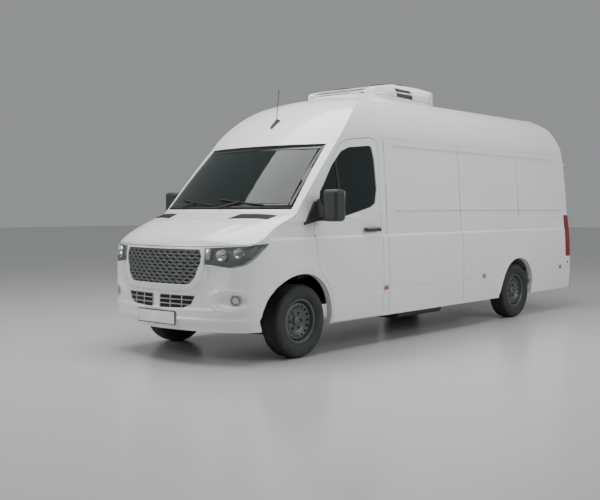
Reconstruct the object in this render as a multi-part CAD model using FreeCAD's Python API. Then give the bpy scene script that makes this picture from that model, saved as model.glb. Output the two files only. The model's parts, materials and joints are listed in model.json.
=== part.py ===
"""Panel van with a rooftop refrigeration unit, as separate pieces in one frame.

Millimetres. The front faces -Y, the vehicle's left side is +X and Z is up. Every piece is drawn
with y counted from the front axle and is set back by AXLE_TO_MIDDLE on export, so that the origin
lies on the ground under the middle of the vehicle.
"""
import FreeCAD, Part
import math
import os

os.makedirs("parts", exist_ok=True)
V = FreeCAD.Vector

# Main sizes
LENGTH = 6967.0
FRONT_OVERHANG = 1004.0
WHEELBASE = 4325.0
TRACK = 1710.0
HALF_WIDTH = 1000.0
ROOF_TOP = 2715.0
AXLE_TO_MIDDLE = FRONT_OVERHANG - LENGTH / 2.0
TAIL = LENGTH - FRONT_OVERHANG

# Wheels: 235/65 R16
TYRE_RADIUS = 354.0
TYRE_WIDTH = 235.0
RIM_RADIUS = 203.0
RIM_WIDTH = 165.0
HUB_BORE = 42.0
KINGPIN_X = 790.0

# Reach of the cutting blocks beyond the body
WIDE = 1200.0
AHEAD = -1300.0
BEHIND = 6200.0

# Clearances and thicknesses
SHUT_GAP = 6.0
SEAT = 0.3
WALL = 65.0
FLOOR_TOP = 720.0
FLOOR_BOTTOM = 640.0
CAB_FLOOR_TOP = 560.0
SILL_Z = 295.0
GLASS = 5.0
REAR_GAP = 9.0
LEAF_GAP = 12.0
JACK_PAD_R = 32.0
RECESS_DEPTH = 9.0
BONNET_WALL = 28.0
BUMPER_WALL = 45.0
GRILLE_IN = 14.0
GRILLE_WALL = 10.0
SCREEN_IN = 6.0
SIDE_GLASS_IN = 12.0
REBATE = 20.0

# Rails and springs across, and the fans in the cooling unit
RAIL_IN = 335.0
RAIL_OUT = 395.0
SPRING_X = 560.0
FAN_X = 270.0
FAN_Y = 2330.0
FAN_FLOOR = 2840.0
FAN_WELL_R = 205.0

# Long positions counted from the front axle
DOOR_FRONT = 203.0
DOOR_BACK = 1290.0
PILLAR_BACK = 1400.0
SLIDE_BACK = 2925.0
BULKHEAD_Y = 1440.0
BULKHEAD = 60.0
REAR_DOOR_Y = 5800.0
BUMPER_TOP = 750.0
DRIP_Z = 2195.0


def export(name, shape):
    """Write one node in the row's frame."""
    placed = shape.copy()
    placed.translate(V(0, AXLE_TO_MIDDLE, 0))
    placed.exportStep("parts/" + name + ".step")


def both(shape):
    """The shape with its mirror image on the other side of the vehicle."""
    return Part.makeCompound([shape, shape.mirror(V(0, 0, 0), V(1, 0, 0))])


def mirrored(shape):
    """The mirror image on the vehicle's right side."""
    return shape.mirror(V(0, 0, 0), V(1, 0, 0))


def spline(points):
    """One smooth edge through the points."""
    curve = Part.BSplineCurve()
    curve.interpolate([V(*p) for p in points])
    return curve.toShape()


def face_of(edges):
    """A flat face inside the edges."""
    return Part.Face(Part.Wire(Part.__sortEdges__(edges)))


def polygon(points):
    """A flat face with straight sides."""
    ring = [V(*p) for p in points]
    return Part.Face(Part.makePolygon(ring + [ring[0]]))


def side_prism(points, x0, x1):
    """A side-view outline (y, z) stretched from x0 to x1."""
    return polygon([(x0, y, z) for y, z in points]).extrude(V(x1 - x0, 0, 0))


def side_curve(points, x0, x1):
    """A closed smooth side-view outline (y, z) stretched from x0 to x1."""
    edge = spline([(x0, y, z) for y, z in points])
    last = Part.makeLine(V(x0, *points[-1]), V(x0, *points[0]))
    return face_of([edge, last]).extrude(V(x1 - x0, 0, 0))


def front_prism(points, y0, y1):
    """A front-view outline (x, z) stretched from y0 to y1."""
    return polygon([(x, y0, z) for x, z in points]).extrude(V(0, y1 - y0, 0))


def plan_prism(points, z0, z1):
    """A plan outline (x, y) stretched from z0 to z1."""
    return polygon([(x, y, z0) for x, y in points]).extrude(V(0, 0, z1 - z0))


def box(x0, x1, y0, y1, z0, z1):
    """A block between two corners."""
    return Part.makeBox(x1 - x0, y1 - y0, z1 - z0, V(x0, y0, z0))


def rod(start, end, radius):
    """A round bar between two points."""
    a = V(*start)
    b = V(*end)
    return Part.makeCylinder(radius, (b - a).Length, a, b - a)


def offset(points, amount):
    """An open outline moved to its right-hand side by the amount."""
    moved = []
    for i, p in enumerate(points):
        a = points[max(i - 1, 0)]
        b = points[min(i + 1, len(points) - 1)]
        length = math.hypot(b[0] - a[0], b[1] - a[1])
        moved.append((p[0] + amount * (b[1] - a[1]) / length, p[1] - amount * (b[0] - a[0]) / length))
    return moved


def rounded(shape, radius, chosen):
    """Round the edges that the test picks."""
    picked = [e for e in shape.Edges if chosen(e)]
    return shape.makeFillet(radius, picked)


# Outer form: side view on the middle plane, in runs that meet at real creases
NOSE = [(-1000, 200), (-1004, 420), (-1000, 560), (-990, 740), (-978, 950), (-960, 1075)]
BONNET = [(-960, 1075), (-925, 1140), (-850, 1196), (-720, 1258), (-580, 1312), (-420, 1365), (-285, 1405)]
SCREEN = [(-285, 1405), (-62, 1642), (165, 1874), (400, 2100)]
CAP = [(400, 2100), (500, 2196), (640, 2316), (800, 2430), (960, 2526), (1140, 2608), (1400, 2678),
       (1750, 2711), (2100, ROOF_TOP)]
ROOF = [(2100, ROOF_TOP), (3200, ROOF_TOP), (4300, ROOF_TOP), (5350, ROOF_TOP)]
REAR = [(5350, ROOF_TOP), (5540, 2697), (5670, 2610), (5745, 2450), (5790, 2250), (5830, 1950),
        (5862, 1600), (5885, 1200), (5900, 750), (5902, 200)]
RUNS = [NOSE, BONNET, SCREEN, CAP, ROOF, REAR]

# How far the outline bows back and drops at a half width of one metre, where the runs meet
SCREEN_BOW = 232.0
BOW = [268.0, 250.0, SCREEN_BOW, SCREEN_BOW, 60.0, 0.0, -22.0]
DROP = [0.0, 0.0, 0.0, 0.0, 100.0, 100.0, 0.0]
SHOULDER_DROP = [0.0, 120.0, 30.0, 0.0, 0.0, 0.0, 0.0]

# Outer form: front view, from the sill to the roof
SIDE = [(972, 200), (984, 330), (996, 480), (1000, 620), (1000, 745), (994, 1000), (984, 1140),
        (958, 1350), (936, 1700), (918, 1950), (900, 2190)]
SHOULDER = [(900, 2190), (874, 2310), (822, 2430), (742, 2550), (632, 2640), (450, 2735)]

# Outer form: plan, from the middle of the nose to the side
NOSE_PLAN = [(0, -1030), (400, -985), (740, -862), (880, -765), (950, -660), (985, -520), (1004, -330),
             (1006, -100)]


def station(x, inset):
    """The side-view outline at one distance from the middle plane."""
    part = abs(x) / HALF_WIDTH
    runs = []
    for k, run in enumerate(RUNS):
        moved = []
        for i, (y, z) in enumerate(run):
            t = i / (len(run) - 1.0)
            bow = BOW[k] + (BOW[k + 1] - BOW[k]) * t
            drop = DROP[k] + (DROP[k + 1] - DROP[k]) * t
            fall = SHOULDER_DROP[k] + (SHOULDER_DROP[k + 1] - SHOULDER_DROP[k]) * t
            moved.append((y + bow * part ** 2, z - drop * part ** 2 - fall * part ** 6))
        runs.append(moved)
    if inset:
        chain = [p for run in runs for p in run[:-1]] + [runs[-1][-1]]
        chain = offset(chain, inset)
        at = 0
        for k, run in enumerate(runs):
            runs[k] = chain[at:at + len(run)]
            at += len(run) - 1
    return runs


def station_wire(x, inset):
    """The closed outline at one station."""
    runs = station(x, inset)
    edges = [spline([(x, y, z) for y, z in run]) for run in runs]
    edges.append(Part.makeLine(V(x, *runs[-1][-1]), V(x, *runs[0][0])))
    return Part.Wire(edges)


def body_form(inset):
    """The whole outside of the vehicle as one solid, or the same drawn in by the inset."""
    places = [-1040, -900, -700, -450, 0, 450, 700, 900, 1040]
    along = Part.makeLoft([station_wire(x, inset) for x in places], True, False)
    side = offset(SIDE, -inset) if inset else SIDE
    top = offset(SHOULDER, -inset) if inset else SHOULDER
    side = side[:-1] + [((side[-1][0] + top[0][0]) / 2.0, (side[-1][1] + top[0][1]) / 2.0)]
    top = [side[-1]] + top[1:]
    edges = []
    for sign in (1, -1):
        edges.append(spline([(sign * x, -1300, z) for x, z in side]))
        edges.append(spline([(sign * x, -1300, z) for x, z in top]))
    edges.append(Part.makeLine(V(-side[0][0], -1300, side[0][1]), V(side[0][0], -1300, side[0][1])))
    edges.append(Part.makeLine(V(-top[-1][0], -1300, top[-1][1]), V(top[-1][0], -1300, top[-1][1])))
    section = face_of(edges).extrude(V(0, 7600, 0))
    plan = offset(NOSE_PLAN, -inset) if inset else NOSE_PLAN
    edges = []
    for sign in (1, -1):
        edges.append(spline([(sign * x, y, 150) for x, y in plan]))
        edges.append(Part.makeLine(V(sign * plan[-1][0], plan[-1][1], 150), V(sign * plan[-1][0], 6100, 150)))
    edges.append(Part.makeLine(V(-plan[-1][0], 6100, 150), V(plan[-1][0], 6100, 150)))
    outline = face_of(edges).extrude(V(0, 0, 2700))
    return along.common(section).common(outline)


OUTER = body_form(0)
INNER = body_form(WALL)
SHELL = OUTER.cut(INNER)

# Wheel arches in side view, closed along the ground
FRONT_ARCH = [(-625, 100), (-628, 300), (-566, 470), (-430, 668), (-215, 785), (5, 812), (205, 760),
              (345, 620), (398, 480), (412, 380), (412, 300), (412, 100)]
REAR_ARCH = [(3812, 100), (3822, 300), (3905, 540), (4060, 715), (4325, 785), (4555, 715), (4675, 560),
             (4705, 440), (4708, 300), (4708, 100)]


def arch(points, grow, x0, x1):
    """The room round a wheel, grown by some amount."""
    flat = offset(points, -grow) if grow else points
    return side_curve(flat, x0, x1)


ARCHES = [arch(FRONT_ARCH, 0, 560, 1100), arch(REAR_ARCH, 0, 700, 1100)]
ARCHES = ARCHES + [mirrored(a) for a in ARCHES]

# Cut lines
DOOR_LINE = [(DOOR_FRONT, 1445), (DOOR_FRONT, 900), (250, 800), (330, 720), (400, 600), (432, 470),
             (440, SILL_Z + 5), (DOOR_BACK, SILL_Z + 5), (DOOR_BACK, 2100), (1240, 2165), (1150, 2182),
             (770, 2140), (640, 2085),
             (545, 1970), (340, 1670), (265, 1545)]
BONNET_EDGE = [(-1400, 1085), (-900, 1085), (-560, 1120), (-480, 1160), (-350, 1200), (-190, 1250),
               (-100, 1310), (-60, 1420), (-60, 1700), (-1400, 1700)]


def grown(points, amount):
    """A closed outline moved outwards; the outline runs counter-clockwise in (y, z)."""
    n = len(points)
    ring = zip(points, points[1:] + points[:1])
    area = sum(p[0] * q[1] - q[0] * p[1] for p, q in ring)
    if area < 0:
        amount = -amount
    moved = []
    for i in range(n):
        p = points[i]
        a = points[i - 1]
        b = points[(i + 1) % n]
        u = (p[0] - a[0], p[1] - a[1])
        w = (b[0] - p[0], b[1] - p[1])
        lu = math.hypot(*u)
        lw = math.hypot(*w)
        n1 = (u[1] / lu, -u[0] / lu)
        n2 = (w[1] / lw, -w[0] / lw)
        k = amount / (1 + n1[0] * n2[0] + n1[1] * n2[1])
        moved.append((p[0] + k * (n1[0] + n2[0]), p[1] + k * (n1[1] + n2[1])))
    return moved


# Regions of the outer form
SHUT = SHUT_GAP / 2.0
door_hole = side_prism(grown(DOOR_LINE, SHUT), 500, 1300)
door_room = side_prism(grown(DOOR_LINE, -SHUT), 500, 1300)
HEADLAMP = [(-1100, 925), (-887, 925), (-800, 893), (-700, 928), (-600, 1000), (-470, 1118), (-560, 1112),
            (-680, 1100), (-800, 1087), (-887, 1072), (-1100, 1072)]
headlamp_room = side_prism(HEADLAMP, 560, 1100)
headlamps_room = both(headlamp_room)
BUMPER_LINE = [(-1300, 250), (-1300, 905), (-700, 905), (-610, 812), (-560, 768), (-370, 758), (-370, 250)]
bumper_room = side_prism(BUMPER_LINE, -WIDE, WIDE).fuse(box(-560, 560, -1300, -500, 800, 1082))
RECESS = [(1570, 1330), (1570, 2120), (5400, 2120), (5455, 2085), (5510, 1980), (5620, 1700), (5735, 1330)]
SLIDE_LINE = [(PILLAR_BACK, 330), (PILLAR_BACK, 2130), (SLIDE_BACK, 2130), (SLIDE_BACK, 330)]
REAR_DOOR_LINE = [(-872, 760), (872, 760), (868, 1400), (842, 2000), (815, 2250), (755, 2400), (690, 2450),
                  (-690, 2450), (-755, 2400), (-815, 2250), (-842, 2000), (-868, 1400)]
rear_door_hole = front_prism(REAR_DOOR_LINE, 5450, BEHIND)
WINDOW_LINE = [(235, 1335), (710, 1362), (1130, 1450), (1205, 1490), (1240, 1630), (1220, 1950), (1185, 2080),
               (1150, 2098), (790, 2062), (660, 2015), (500, 1870), (300, 1600)]
SCREEN_LINE = [(-895, 1428), (895, 1428), (820, 2090), (-820, 2090)]
GRILLE_LINE = [(-507, 1062), (507, 1062), (532, 1000), (528, 945), (470, 800), (420, 748), (380, 737),
               (-380, 737), (-420, 748), (-470, 800), (-528, 945), (-532, 1000)]
LOW_GRILLE_LINE = [(48, 638), (468, 638), (430, 560), (345, 522), (48, 512)]


def rear_edge(side_gap):
    """The bonnet's rear edge in plan, bowed like the foot of the windscreen."""
    return [(x, -296 - side_gap + SCREEN_BOW * (x / HALF_WIDTH) ** 2) for x in range(-960, 961, 120)]


bonnet_room = side_prism(grown(BONNET_EDGE, -SHUT), -WIDE, WIDE)
bonnet_hole = side_prism(grown(BONNET_EDGE, SHUT), -WIDE, WIDE)
bonnet_plan = plan_prism(rear_edge(SHUT) + [(960, -1400), (-960, -1400)], 900, 1800)
bonnet_plan_hole = plan_prism(rear_edge(-SHUT) + [(960, -1400), (-960, -1400)], 900, 1800)
bonnet_room = bonnet_room.common(bonnet_plan)
bonnet_hole = bonnet_hole.common(bonnet_plan_hole)
arches = Part.makeCompound(ARCHES)
DOORS = both(door_hole)

# Hinges: a barrel whose lower half belongs to the body and upper half to the door
REAR_HINGE_LOW = (889, 5917, 800)
REAR_HINGE_HIGH = (838, 5836, 2200)
HINGE_R = 11.0


def barrel(low, high, part, side):
    """Half of a hinge barrel; side is -1 below the middle and 1 above it."""
    span = V(*high) - V(*low)
    middle = V(*low) + span * part
    along = V(span.x, span.y, span.z).normalize()
    start = middle + along * (SEAT / 2.0 if side > 0 else -45.0)
    return Part.makeCylinder(HINGE_R, 45.0 - SEAT / 2.0, start, along), middle


def rear_hinges(side):
    """The body's or the left rear door's halves of its hinges, with their straps."""
    halves = []
    for part in (0.08, 0.5, 0.92):
        half, middle = barrel(REAR_HINGE_LOW, REAR_HINGE_HIGH, part, side)
        z0, z1 = (middle.z - 42, middle.z - 3) if side < 0 else (middle.z + 3, middle.z + 42)
        x0, x1 = (middle.x, middle.x + 40) if side < 0 else (middle.x - 44, middle.x)
        strap = box(x0, x1, middle.y - 9, middle.y + 9, z0, z1)
        x0, x1 = (middle.x + 18, middle.x + 62) if side < 0 else (middle.x - 72, middle.x - 24)
        foot = box(x0, x1, middle.y - 50, middle.y + 9, z0, z1)
        halves.append(half.fuse(strap).fuse(foot))
    return Part.makeCompound(halves)


# Side walls with their pillars
wall = SHELL.common(box(0, WIDE, DOOR_BACK + SHUT, BEHIND, SILL_Z, DRIP_Z)).cut(ARCHES[1])
wall = wall.cut(box(0, WIDE, 4700, BEHIND, 0, BUMPER_TOP)).cut(rear_door_hole)
recess = side_prism(RECESS, 500, 1200).cut(body_form(RECESS_DEPTH))
wall = wall.cut(recess)
for half in rear_hinges(-1).Solids:
    wall = wall.fuse(half)
export("left_side_wall", wall)
right = mirrored(wall)
export("right_side_wall", right.cut(mirrored(side_prism(grown(SLIDE_LINE, SHUT), 500, 1300))))
sliding = right.common(mirrored(side_prism(grown(SLIDE_LINE, -SHUT), 500, 1300)))
export("sliding_door", sliding)

# Roof with the cab's cap; its front edge is the windscreen's top edge
upper = box(-WIDE, WIDE, AHEAD, BEHIND, DRIP_Z, 3000).fuse(box(-WIDE, WIDE, 300, 1290, 2103, DRIP_Z))
roof = SHELL.common(upper).cut(rear_door_hole).cut(DOORS)
export("roof", roof)

# Pillars, cowl, sills and wings of the cab
front_low = box(-WIDE, WIDE, AHEAD, DOOR_BACK + SHUT, SILL_Z, 2103)
front = SHELL.common(front_low).cut(arches).cut(DOORS).cut(bumper_room).cut(bonnet_hole).cut(headlamps_room)
screen_hole = front_prism(SCREEN_LINE, -800, 900)
front = front.cut(screen_hole)
wing_room = box(-WIDE, WIDE, AHEAD, DOOR_FRONT + 10, SILL_Z, 1310)
wing_room = wing_room.fuse(box(-WIDE, WIDE, 200, 500, SILL_Z, 900))
export("front_wings", front.common(wing_room))
export("cab_frame", front.cut(wing_room))

# Windscreen
pane_form = body_form(SCREEN_IN).cut(body_form(SCREEN_IN + GLASS))
export("windscreen", pane_form.common(screen_hole))

# Bonnet
bonnet_form = OUTER.cut(body_form(BONNET_WALL))
bonnet = bonnet_form.common(bonnet_room).cut(headlamps_room).cut(bumper_room)
export("bonnet", bonnet)

# Front bumper with the frame round the grille
nose_form = OUTER.cut(body_form(BUMPER_WALL))
bumper = nose_form.common(bumper_room).cut(headlamps_room).cut(arches)
grille_hole = front_prism(GRILLE_LINE, -1300, -600)
low_hole = both(front_prism(LOW_GRILLE_LINE, -1300, -600))
bumper = bumper.cut(grille_hole).cut(low_hole).cut(box(-WIDE, WIDE, AHEAD, 0, 0, 305))
export("front_bumper", bumper)
grille_form = body_form(GRILLE_IN).cut(body_form(GRILLE_IN + GRILLE_WALL))
export("radiator_grille", Part.makeCompound([grille_form.common(grille_hole)] +
       [grille_form.common(s) for s in low_hole.Solids]))
lamp = SHELL.common(headlamp_room)
export("headlamps", both(lamp))

# Front doors
door = SHELL.common(door_room).cut(ARCHES[0])
window_hole = side_prism(WINDOW_LINE, 500, 1300)
door = door.cut(window_hole)
pane_side = body_form(SIDE_GLASS_IN).cut(body_form(SIDE_GLASS_IN + GLASS))
glass = pane_side.common(window_hole)
mirror = box(1070, 1250, 175, 325, 1310, 1620)
mirror = rounded(mirror, 38, lambda e: True)
mirror = mirror.fuse(rod((905, 262, 1340), (1120, 262, 1340), 26))
export("front_door_left", door)
export("front_door_right", mirrored(door))
export("door_glass_left", glass)
export("door_glass_right", mirrored(glass))
mirror = mirror.cut(OUTER)
export("door_mirror_left", mirror)
export("door_mirror_right", mirrored(mirror))

# Rear doors
leaf = SHELL.common(front_prism(grown(REAR_DOOR_LINE, -REAR_GAP), 5450, BEHIND))
leaf = leaf.common(box(LEAF_GAP / 2.0, WIDE, 5450, BEHIND, 700, 2600))
rebate = box(0, LEAF_GAP / 2.0 + 16, 5450, BEHIND, 700, 2600).common(body_form(REBATE))
leaf = leaf.cut(rebate)
for half in rear_hinges(1).Solids:
    leaf = leaf.fuse(half)
export("rear_door_left", leaf)
export("rear_door_right", mirrored(leaf))

# Rear bumper with its step
tail = OUTER.common(box(-WIDE, WIDE, 4714, BEHIND, 300, BUMPER_TOP - SEAT)).cut(body_form(BUMPER_WALL))
tail = tail.cut(arches)
step = plan_prism([(-900, 5850), (900, 5850), (900, 5930), (840, TAIL), (-840, TAIL), (-900, 5930)], 560, 735)
export("rear_bumper", tail.fuse(step))

# Floors, front wall of the cab and the wall behind the seats
cab_room = INNER.common(box(-WIDE, WIDE, 60, BULKHEAD_Y + BULKHEAD, 500, CAB_FLOOR_TOP))
cab_room = cab_room.fuse(INNER.common(box(-WIDE, WIDE, 60, 90, 500, 1330)))
wells = [arch(FRONT_ARCH, 25, 520, 1100), arch(REAR_ARCH, 14, 640, 1100)]
wells = wells + [mirrored(w) for w in wells]
cab_floor = cab_room.cut(Part.makeCompound(wells[:1] + wells[2:3]))
export("cab_floor", cab_floor)
bulkhead = INNER.common(box(-WIDE, WIDE, BULKHEAD_Y, BULKHEAD_Y + BULKHEAD, CAB_FLOOR_TOP + SEAT, 2800))
export("bulkhead", bulkhead)
floor = INNER.common(box(-WIDE, WIDE, BULKHEAD_Y + BULKHEAD + SEAT, 5780, FLOOR_BOTTOM, FLOOR_TOP))
well = wells[1].common(box(640, 930, 3500, 5000, FLOOR_BOTTOM, 900)).common(INNER)
well = well.cut(arch(REAR_ARCH, 0, 654, 1100))
floor = floor.cut(Part.makeCompound([wells[1], wells[3]])).fuse(both(well).Solids)
export("load_floor", floor)

# Rails and cross members under the floor
parts = []
for sign in (1, -1):
    x0, x1 = sorted((sign * RAIL_IN, sign * RAIL_OUT))
    parts.append(box(x0, x1, -820, 90, 420, 500))
    parts.append(box(x0, x1, 60, 1570, 400, 500 - SEAT))
    parts.append(box(x0, x1, 1510, 5700, 520, FLOOR_BOTTOM - SEAT))
    parts.append(box(x0, x1, 1510, 1570, 400, 560))
    parts.append(rod((sign * 365, 900, 372), (sign * 365, 900, 401), JACK_PAD_R))
    parts.append(rod((sign * 365, 3450, 490), (sign * 365, 3450, 521), JACK_PAD_R))
rails = parts[0]
for p in parts[1:]:
    rails = rails.fuse(p)
for y in (-800, 1510, 2300, 3100, 3700, 4900, 5600):
    z0, z1 = (420, 490) if y < 1000 else (540, 610)
    rails = rails.fuse(box(-336, 336, y, y + 60, z0, z1))
rails = rails.removeSplitter()
export("chassis_frame", rails)

# Engine, radiator and gearbox
engine = box(-300, 300, -640, 20, 530, 1130).fuse(box(-392, 392, -360, -280, 500 + SEAT, 570))
engine = engine.fuse(box(-200, 200, -500, 0, 400, 535)).fuse(box(-110, 110, -200, 620, 340, 495))
export("engine_block", engine)
export("radiator", box(-325, 325, -830, -770, 490 + SEAT, 1000))


def tyre():
    """A tyre turning about X, centred on its own middle."""
    w = TYRE_WIDTH / 2.0
    r = TYRE_RADIUS
    bead = RIM_WIDTH / 2.0 - SEAT
    seat_r = RIM_RADIUS + 2.0 + SEAT
    half = [(bead + 8, RIM_RADIUS + 20), (w - 12, 242), (w - 2, 268), (w, 285), (w - 6, 318), (w - 20, 340),
            (w - 42, r - 3)]
    inner = [(bead - 12, seat_r), (w - 22, 262), (w - 18, 290), (w - 34, 326), (0, r - 14)]
    edges = []
    for sign in (1, -1):
        edges.append(spline([(sign * x, 0, z) for x, z in half]))
        edges.append(Part.makeLine(V(sign * half[-1][0], 0, half[-1][1]), V(sign * 60, 0, r)))
        edges.append(Part.makeLine(V(sign * half[0][0], 0, half[0][1]), V(sign * bead, 0, RIM_RADIUS + 20)))
        edges.append(Part.makeLine(V(sign * bead, 0, RIM_RADIUS + 20), V(sign * bead, 0, seat_r)))
        edges.append(Part.makeLine(V(sign * bead, 0, seat_r), V(sign * inner[0][0], 0, inner[0][1])))
    edges.append(Part.makeLine(V(-60, 0, r), V(60, 0, r)))
    ends = inner + [(-x, z) for x, z in reversed(inner[:-1])]
    edges.append(spline([(x, 0, z) for x, z in ends]))
    return face_of(edges).revolve(V(0, 0, 0), V(1, 0, 0), 360)


def rim():
    """A steel wheel with a ring of oval holes; its outer side faces +X."""
    w = RIM_WIDTH / 2.0
    r = RIM_RADIUS
    outline = [(w + 7, r), (w + 7, r + 15), (w, r + 15), (w, r + 2), (w - 24, r + 1), (30, r - 10),
               (-w + 24, r + 1), (-w, r + 2), (-w, r + 15), (-w - 7, r + 15), (-w - 7, r), (-w, r - 7),
               (22, r - 18), (24, 176), (50, 168), (54, 152), (30, 122), (20, 98), (24, 70), (24, 42), (32, 42),
               (32, 70), (30, 96), (40, 120), (64, 152), (60, 174), (36, r - 18), (w, r - 8)]
    ring = polygon([(x, 0, z) for x, z in outline]).revolve(V(0, 0, 0), V(1, 0, 0), 360)
    for k in range(16):
        cut = Part.makeCylinder(11, 120, V(0, 0, 146), V(1, 0, 0))
        cut.rotate(V(0, 0, 0), V(1, 0, 0), k * 22.5)
        ring = ring.cut(cut)
    return ring


TYRE = tyre()
RIM = rim()
AXLES = {"front": 0.0, "rear": WHEELBASE}
for where, y in AXLES.items():
    for side, sign in (("left", 1), ("right", -1)):
        for name, shape in (("tyre", TYRE), ("rim", RIM)):
            piece = shape.copy() if sign > 0 else mirrored(shape)
            piece.translate(V(sign * TRACK / 2.0, y, TYRE_RADIUS))
            export(name + "_" + where + "_" + side, piece)

# Knuckles with brake discs, which turn with the steering
WHEEL_FACE = TRACK / 2.0 + 24.0
hub = rod((TRACK / 2.0 - 25, 0, TYRE_RADIUS), (WHEEL_FACE - SEAT, 0, TYRE_RADIUS), 68)
hub = hub.fuse(rod((TRACK / 2.0 - 25, 0, TYRE_RADIUS), (WHEEL_FACE + 16, 0, TYRE_RADIUS), HUB_BORE - SEAT))
hub = hub.fuse(rod((TRACK / 2.0 - 32, 0, TYRE_RADIUS), (TRACK / 2.0 - 10, 0, TYRE_RADIUS), 145))
knuckle = hub.fuse(rod((KINGPIN_X - 22, 0, TYRE_RADIUS), (TRACK / 2.0 - 31, 0, TYRE_RADIUS), 50))
knuckle = knuckle.fuse(rod((KINGPIN_X, 0, 225), (KINGPIN_X, 0, 480), 22))
export("knuckle_left", knuckle)
export("knuckle_right", mirrored(knuckle))

# Axles
beam = box(-336, 336, -60, 60, 260, 330)
for sign in (1, -1):
    x0, x1 = sorted((sign * RAIL_IN, sign * RAIL_OUT))
    beam = beam.fuse(box(x0, x1, -60, 60, 200, 420 - SEAT))
    low_arm = [(sign * 390, -150), (sign * 390, 150), (sign * KINGPIN_X, 26), (sign * (KINGPIN_X + 26), 0),
               (sign * KINGPIN_X, -26)]
    beam = beam.fuse(plan_prism(low_arm, 200, 225 - SEAT))
    top_arm = [(sign * 390, -90), (sign * 390, 90), (sign * KINGPIN_X, 24), (sign * (KINGPIN_X + 24), 0),
               (sign * KINGPIN_X, -24)]
    beam = beam.fuse(plan_prism(top_arm, 480 + SEAT, 500))
    beam = beam.cut(box(x0 - 0.3, x1 + 0.3, -200, 200, 420 - SEAT, 500.6))
    beam = beam.fuse(rod((sign * 640, 0, 215), (sign * 600, 0, 760), 34))
export("front_axle", beam)
rear = rod((30 - TRACK / 2.0, WHEELBASE, TYRE_RADIUS), (TRACK / 2.0 - 30, WHEELBASE, TYRE_RADIUS), 38)
rear = rear.fuse(rod((-80, WHEELBASE, TYRE_RADIUS), (80, WHEELBASE, TYRE_RADIUS), 120))
rear = rear.fuse(rod((0, WHEELBASE - 130, TYRE_RADIUS + 18), (0, WHEELBASE, TYRE_RADIUS + 18), 70))
for sign in (1, -1):
    end = hub if sign > 0 else mirrored(hub)
    end = end.copy()
    end.translate(V(0, WHEELBASE, 0))
    rear = rear.fuse(end)
    x = sign * SPRING_X
    rear = rear.fuse(box(x - 35, x + 35, WHEELBASE - 700, WHEELBASE + 700, 395, 425))
    rear = rear.fuse(box(x - 40, x + 40, WHEELBASE - 60, WHEELBASE + 60, 340, 400))
    for y in (WHEELBASE - 690, WHEELBASE + 690):
        rear = rear.fuse(box(x - 30, x + 30, y - 25, y + 25, 400, FLOOR_BOTTOM - SEAT))
export("rear_axle", rear)

# Fuel tank and drive shaft
tank = box(480, 860, 1750, 2650, 210, 560)
tank = rounded(tank, 60, lambda e: abs(e.Vertexes[0].Y - e.Vertexes[-1].Y) > 100)
for y in (1900, 2400):
    tank = tank.fuse(box(600, 700, y, y + 60, 550, FLOOR_BOTTOM - SEAT))
export("fuel_tank", tank)
shaft = rod((0, 620 + 3 * SEAT, 410), (0, WHEELBASE - 130 - 3 * SEAT, 372), 38)
export("drive_shaft", shaft)

# Seats, dashboard and steering wheel

def seat(x0, x1):
    """One seat with its base, cushion, back and head rest."""
    base = box(x0 + 40, x1 - 40, 800, 1180, CAB_FLOOR_TOP + SEAT, 780)
    cushion = rounded(box(x0, x1, 720, 1230, 760, 900), 35, lambda e: True)
    back = side_prism([(1160, 850), (1290, 840), (1400, 1440), (1300, 1450)], x0 + 10, x1 - 10)
    head = box((x0 + x1) / 2 - 120, (x0 + x1) / 2 + 120, 1325, 1395, 1430, 1620)
    return base.fuse(cushion).fuse(back).fuse(head)


export("seats", Part.makeCompound([seat(250, 730), seat(-740, -110)]))
dash = side_prism([(90.3, 745), (90.3, 1260), (230, 1270), (420, 1200), (470, 1050), (380, 785)], -840, 840)
dash = dash.common(body_form(WALL + 4))
COLUMN_TILT = 58.0
lean = math.radians(COLUMN_TILT)
WHEEL_MIDDLE = (390, 560, 1230)
inner_end = (390, 560 - 205 * math.sin(lean), 1230 - 205 * math.cos(lean))
export("dashboard", dash.cut(rod(inner_end, WHEEL_MIDDLE, 22 + SEAT)))
wheel = Part.makeTorus(190, 15)
wheel = wheel.fuse(Part.makeCylinder(60, 40, V(0, 0, -30)))
for k in (0, 120, 240):
    spoke = box(-18, 18, 40, 185, -14, 6)
    spoke.rotate(V(0, 0, 0), V(0, 0, 1), k)
    wheel = wheel.fuse(spoke)
wheel = wheel.fuse(Part.makeCylinder(22, 170, V(0, 0, -195)))
wheel.rotate(V(0, 0, 0), V(1, 0, 0), -COLUMN_TILT)
wheel.translate(V(*WHEEL_MIDDLE))
export("steering_wheel", wheel)

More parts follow.
